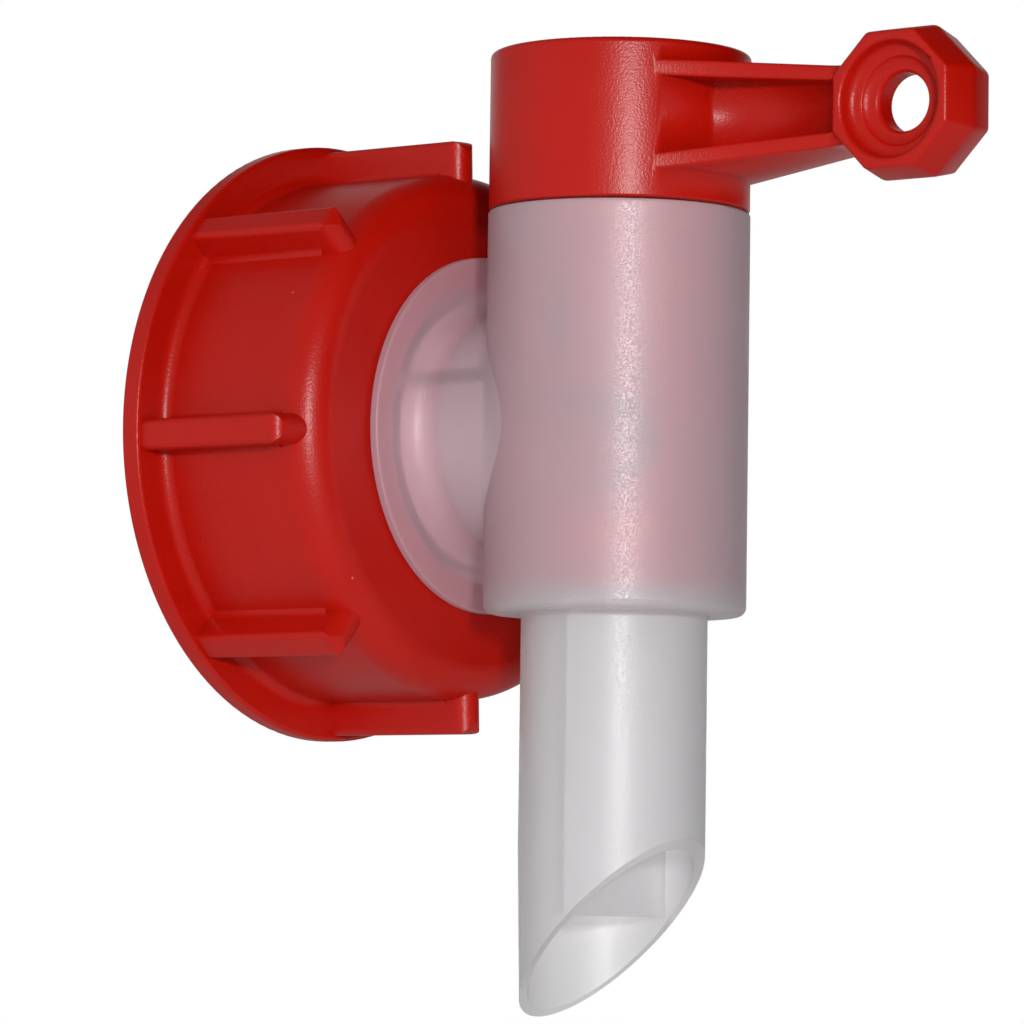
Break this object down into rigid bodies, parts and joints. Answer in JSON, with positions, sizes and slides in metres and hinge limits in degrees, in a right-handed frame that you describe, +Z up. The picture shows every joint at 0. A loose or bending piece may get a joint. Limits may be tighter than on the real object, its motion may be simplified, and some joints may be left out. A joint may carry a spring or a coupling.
{
  "type": "jerrycan tap",
  "caption": "Quarter-turn plug tap with slanted spout and lever, swivelling in a ribbed screw cap for a jerrycan neck.",
  "frame": {"origin": "centre of the cap's mouth, at the outer end of the bore that carries the neck thread", "axes": "+Y along the cap's axis out of its mouth, into the container's neck; +Z up along the plug's axis, the spout points to -Z; the lever points to -Y when shut"},
  "size_m": [0.063, 0.0829, 0.0982],
  "materials": {
    "red_plastic": "moulded polyethylene, finely grained, satin",
    "natural_plastic": "unpigmented polyethylene, translucent, satin",
    "gasket_rubber": "smooth, matte"
  },
  "bodies": {
    "cap": {"screw_cap": "red_plastic", "neck_gasket": "gasket_rubber"},
    "tap": {"tap_body": "natural_plastic"},
    "plug": {"plug_lever": "red_plastic"}
  },
  "joints": [
    {"name": "cap_swivel", "type": "hinge", "parent": "cap", "child": "tap", "pos_m": [0, 0, 0], "axis": [0, 1, 0], "continuous": true},
    {"name": "plug_turn", "type": "hinge", "parent": "tap", "child": "plug", "pos_m": [0, -0.03945, 0], "axis": [0, 0, 1], "range_deg": [-90, 0]}
  ]
}
